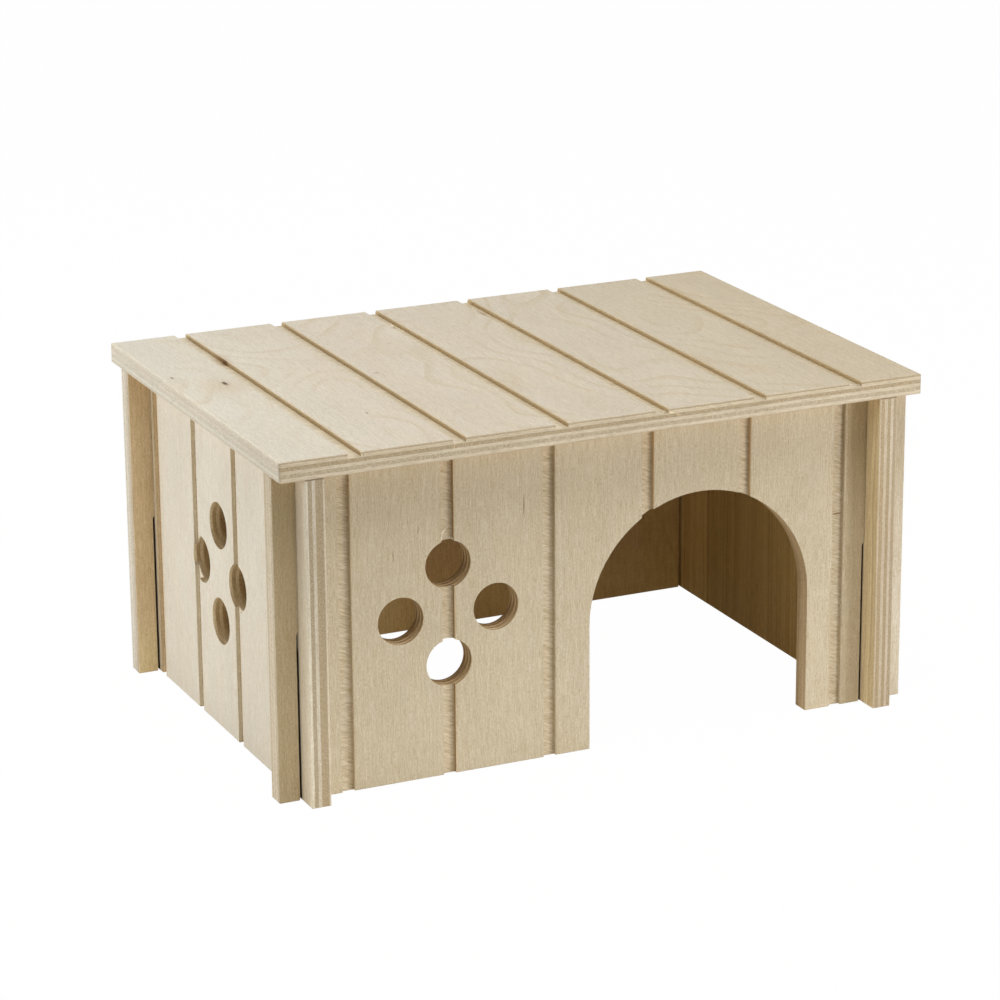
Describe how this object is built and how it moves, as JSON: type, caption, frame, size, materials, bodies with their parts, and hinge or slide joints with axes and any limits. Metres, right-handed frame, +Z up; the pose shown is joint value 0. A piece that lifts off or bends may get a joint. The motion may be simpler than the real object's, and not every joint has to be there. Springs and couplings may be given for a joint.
{
  "type": "guinea pig house",
  "caption": "Plywood guinea pig house with plank-grooved walls and roof, cross-lapped corners, an arched doorway, round air holes and a lift-off roof.",
  "frame": {"origin": "middle of the house on the surface that it stands on", "axes": "+X to the right along the front, +Y from the front to the back, +Z up; the doorway looks along -Y"},
  "size_m": [0.359, 0.246, 0.182],
  "materials": {
    "plywood_roof": "bare sanded plywood, pale",
    "plywood_front": "bare sanded plywood, pale tan",
    "plywood_side": "bare sanded plywood, pale",
    "dowel_wood": "bare turned hardwood"
  },
  "bodies": {
    "walls": {"front_panel": "plywood_front", "back_panel": "plywood_front", "left_panel": "plywood_side", "right_panel": "plywood_side"},
    "roof": {"roof_panel": "plywood_roof", "dowel_front_left": "dowel_wood", "dowel_front_right": "dowel_wood", "dowel_back_left": "dowel_wood", "dowel_back_right": "dowel_wood"}
  },
  "joints": [
    {"name": "roof_lift", "type": "slide", "parent": "walls", "child": "roof", "axis": [0, 0, 1], "range_m": [0, 0.15]}
  ]
}
